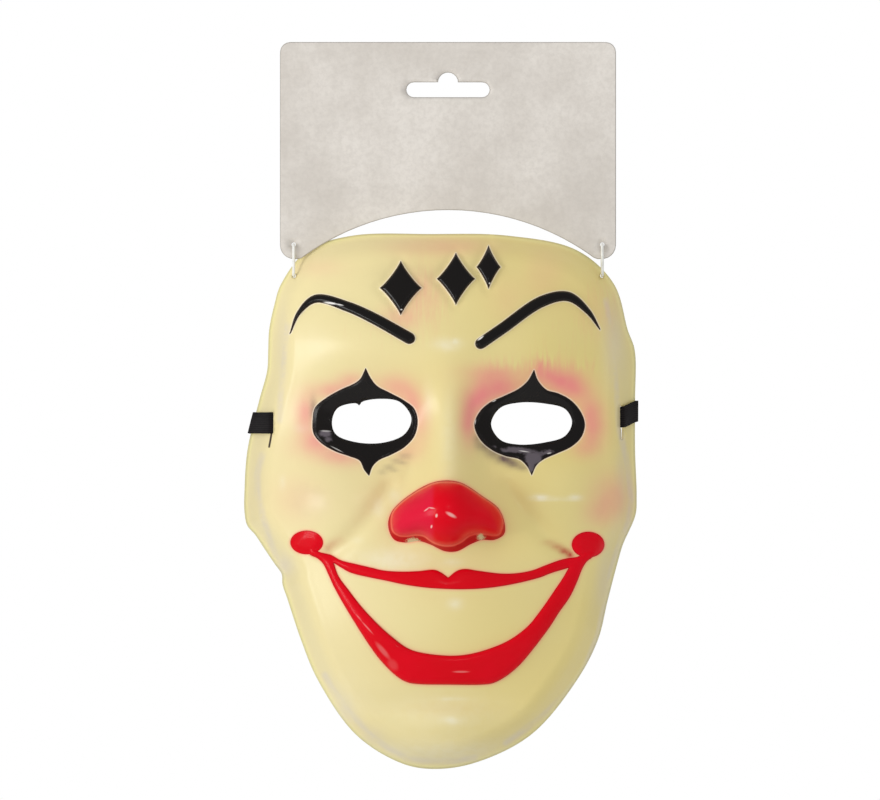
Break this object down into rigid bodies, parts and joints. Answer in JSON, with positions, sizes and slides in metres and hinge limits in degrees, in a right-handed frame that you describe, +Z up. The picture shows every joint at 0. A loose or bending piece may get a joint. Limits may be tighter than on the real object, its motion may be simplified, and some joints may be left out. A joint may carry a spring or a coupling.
{
  "type": "clown mask on a hanging card",
  "caption": "Full-face clown mask of thin formed plastic with a raised nose, lips and brows, an elastic strap, and a card with a slot that it hangs from.",
  "frame": {"origin": "top of the hanging slot's middle bump, on the card's middle plane", "axes": "+Z up, the face looks along -Y, +X on the right of somebody who looks at the face"},
  "size_m": [0.1699, 0.1293, 0.3126],
  "materials": {
    "formed_plastic": "cream formed plastic with glossy red and black paint",
    "black_elastic": "woven black elastic",
    "grey_card": "warm grey card with a faint mottled print",
    "white_tie": "milky white plastic thread"
  },
  "bodies": {
    "root": {"mask_shell": "formed_plastic", "elastic_strap": "black_elastic", "header_card": "grey_card", "tie_left": "white_tie", "tie_right": "white_tie"}
  },
  "joints": []
}
